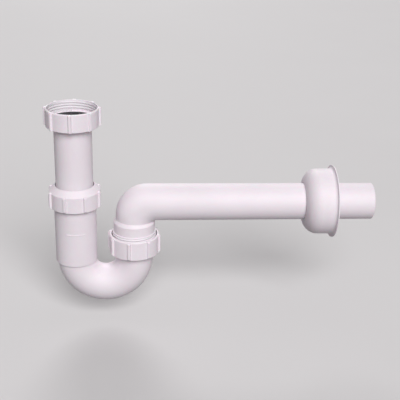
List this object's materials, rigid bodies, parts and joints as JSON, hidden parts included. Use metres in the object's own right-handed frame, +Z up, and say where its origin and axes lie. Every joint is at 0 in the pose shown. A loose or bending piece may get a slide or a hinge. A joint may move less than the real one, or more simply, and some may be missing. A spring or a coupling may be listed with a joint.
{
  "type": "waste trap",
  "caption": "Tubular P-shaped waste trap: ribbed inlet union nut, telescopic tube, U-bend, swivel outlet arm with a tight elbow, and a bell-shaped wall flange on its pipe.",
  "frame": {"origin": "centre of the inlet seat: the top face of the inlet washer, on the inlet axis", "axes": "+Z up along the inlet axis, out of the inlet nut's mouth; +X along the outlet pipe, towards the wall"},
  "size_m": [0.2858, 0.0638, 0.1807],
  "materials": {
    "white_plastic": "moulded, semi-gloss",
    "black_rubber": "matt"
  },
  "bodies": {
    "inlet_nut": {"inlet_nut": "white_plastic"},
    "inlet_tube": {"inlet_tube": "white_plastic", "inlet_washer": "black_rubber"},
    "trap_body": {"socket": "white_plastic", "u_bend": "white_plastic", "tube_seal": "black_rubber", "swivel_seal": "black_rubber"},
    "compression_nut": {"compression_nut": "white_plastic"},
    "swivel_nut": {"swivel_nut": "white_plastic"},
    "outlet_arm": {"outlet_arm": "white_plastic"},
    "wall_flange": {"wall_flange": "white_plastic"}
  },
  "joints": [
    {"name": "inlet_swivel", "type": "hinge", "parent": "inlet_nut", "child": "inlet_tube", "pos_m": [0, 0, 0], "axis": [0, 0, 1], "continuous": true},
    {"name": "height_slide", "type": "slide", "parent": "inlet_tube", "child": "trap_body", "axis": [0, 0, 1], "range_m": [-0.018, 0.018]},
    {"name": "compression_nut_turn", "type": "hinge", "parent": "trap_body", "child": "compression_nut", "pos_m": [0, 0, -0.068], "axis": [0, 0, 1], "continuous": true},
    {"name": "swivel_nut_turn", "type": "hinge", "parent": "trap_body", "child": "swivel_nut", "pos_m": [0.0511, 0, -0.114], "axis": [0, 0, 1], "continuous": true},
    {"name": "outlet_swivel", "type": "hinge", "parent": "trap_body", "child": "outlet_arm", "pos_m": [0.0511, 0, -0.0758], "axis": [0, 0, 1], "range_deg": [-120, 120]},
    {"name": "flange_slide", "type": "slide", "parent": "outlet_arm", "child": "wall_flange", "axis": [1, 0, 0], "range_m": [-0.11, 0.034]}
  ]
}
